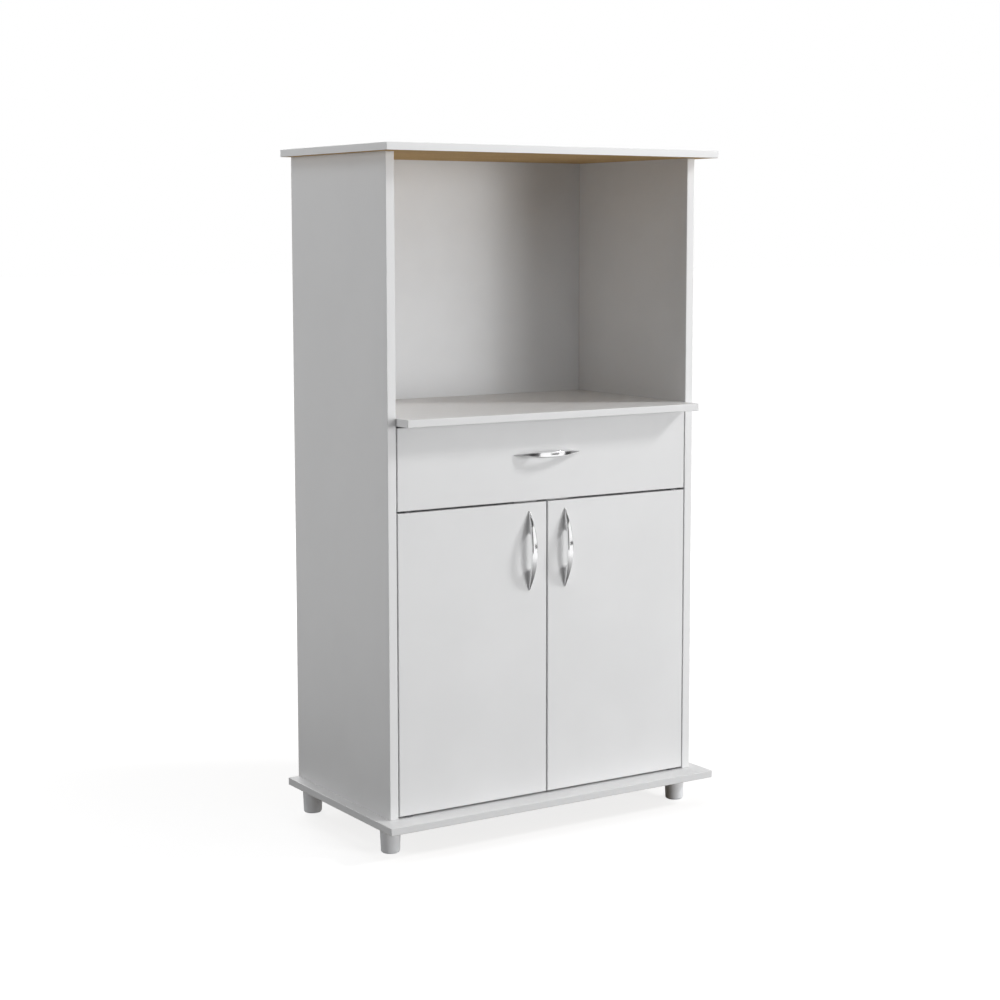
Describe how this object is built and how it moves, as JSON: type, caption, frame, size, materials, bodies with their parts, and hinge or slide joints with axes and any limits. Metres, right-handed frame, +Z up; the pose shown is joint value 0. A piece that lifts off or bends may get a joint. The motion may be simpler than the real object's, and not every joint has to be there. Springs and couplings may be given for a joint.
{
  "type": "microwave cabinet",
  "caption": "Free-standing microwave cabinet with an open bay above a drawer and a two-door cupboard, overhanging top and base, on short round feet.",
  "frame": {"origin": "on the floor, below the middle of the cabinet's width and depth", "axes": "+X to the cabinet's right as seen from the front, +Y to its back, +Z up"},
  "size_m": [0.63, 0.358, 1.11],
  "materials": {
    "white_board": "white melamine faced particle board, satin",
    "white_hardboard": "white lacquered hardboard",
    "white_plastic": "satin",
    "grey_plastic": "satin",
    "handle_metal": "satin chrome",
    "zinc_steel": "zinc plated",
    "white_steel": "white powder coat",
    "cast_zinc": "cast zinc",
    "beech": "plain beech",
    "magnet": "ferrite"
  },
  "bodies": {
    "carcass": {"back_panel": "white_hardboard", "back_panel_nails": "zinc_steel", "base_board": "white_board", "bay_shelf": "white_board", "cam_bolts": "zinc_steel", "cam_locks": "cast_zinc", "carcass_dowels": "beech", "carcass_screws": "zinc_steel", "catch_housings": "white_plastic", "catch_magnets": "magnet", "drawer_rail": "white_board", "foot_front_left": "grey_plastic", "foot_front_right": "grey_plastic", "foot_rear_left": "grey_plastic", "foot_rear_right": "grey_plastic", "foot_screws": "zinc_steel", "hardware_screws": "zinc_steel", "inner_shelf": "white_board", "pivot_pins": "zinc_steel", "pivot_plate_lower_left": "zinc_steel", "pivot_plate_lower_right": "zinc_steel", "pivot_plate_upper_left": "zinc_steel", "pivot_plate_upper_right": "zinc_steel", "roller_axles_cabinet": "zinc_steel", "runner_cabinet_left": "white_steel", "runner_cabinet_right": "white_steel", "screw_caps": "white_plastic", "shelf_pins": "zinc_steel", "side_panel_left": "white_board", "side_panel_right": "white_board", "top_board": "white_board"},
    "door_left": {"door_left": "white_board", "door_handle_left": "handle_metal", "door_handle_screws_left": "zinc_steel", "pivot_bushes_left": "white_plastic", "strike_plate_left": "zinc_steel"},
    "door_right": {"door_right": "white_board", "door_handle_right": "handle_metal", "door_handle_screws_right": "zinc_steel", "pivot_bushes_right": "white_plastic", "strike_plate_right": "zinc_steel"},
    "drawer": {"drawer_front": "white_board", "drawer_inner_front": "white_board", "drawer_side_left": "white_board", "drawer_side_right": "white_board", "drawer_back": "white_board", "drawer_bottom": "white_hardboard", "drawer_box_screws": "zinc_steel", "drawer_handle": "handle_metal", "drawer_handle_screws": "zinc_steel", "runner_drawer_left": "white_steel", "runner_drawer_right": "white_steel", "runner_drawer_screws": "zinc_steel", "roller_axles_drawer": "zinc_steel"},
    "roller_cabinet_left": {"roller_cabinet_left": "white_plastic"},
    "roller_cabinet_right": {"roller_cabinet_right": "white_plastic"},
    "roller_drawer_left": {"roller_drawer_left": "white_plastic"},
    "roller_drawer_right": {"roller_drawer_right": "white_plastic"}
  },
  "joints": [
    {"name": "door_left_hinge", "type": "hinge", "parent": "carcass", "child": "door_left", "pos_m": [-0.25861, -0.1325, 0.3], "axis": [0, 0, -1], "range_deg": [0, 130]},
    {"name": "door_right_hinge", "type": "hinge", "parent": "carcass", "child": "door_right", "pos_m": [0.25861, -0.1325, 0.3], "axis": [0, 0, 1], "range_deg": [0, 130]},
    {"name": "drawer_slide", "type": "slide", "parent": "carcass", "child": "drawer", "axis": [0, -1, 0], "range_m": [0, 0.19]},
    {"name": "roller_cabinet_left_spin", "type": "hinge", "parent": "carcass", "child": "roller_cabinet_left", "pos_m": [-0.2753, -0.113, 0.5684], "axis": [1, 0, 0], "range_deg": [0, 1600]},
    {"name": "roller_cabinet_right_spin", "type": "hinge", "parent": "carcass", "child": "roller_cabinet_right", "pos_m": [0.2753, -0.113, 0.5684], "axis": [1, 0, 0], "range_deg": [0, 1600]},
    {"name": "roller_drawer_left_spin", "type": "hinge", "parent": "drawer", "child": "roller_drawer_left", "pos_m": [-0.2722, 0.117, 0.5684], "axis": [1, 0, 0], "range_deg": [0, 1600]},
    {"name": "roller_drawer_right_spin", "type": "hinge", "parent": "drawer", "child": "roller_drawer_right", "pos_m": [0.2722, 0.117, 0.5684], "axis": [1, 0, 0], "range_deg": [0, 1600]}
  ],
  "couplings": [
    {"joint": "roller_cabinet_left_spin", "follows": "drawer_slide", "rad_per_m": 142.86},
    {"joint": "roller_cabinet_right_spin", "follows": "drawer_slide", "rad_per_m": 142.86},
    {"joint": "roller_drawer_left_spin", "follows": "drawer_slide", "rad_per_m": 142.86},
    {"joint": "roller_drawer_right_spin", "follows": "drawer_slide", "rad_per_m": 142.86}
  ]
}
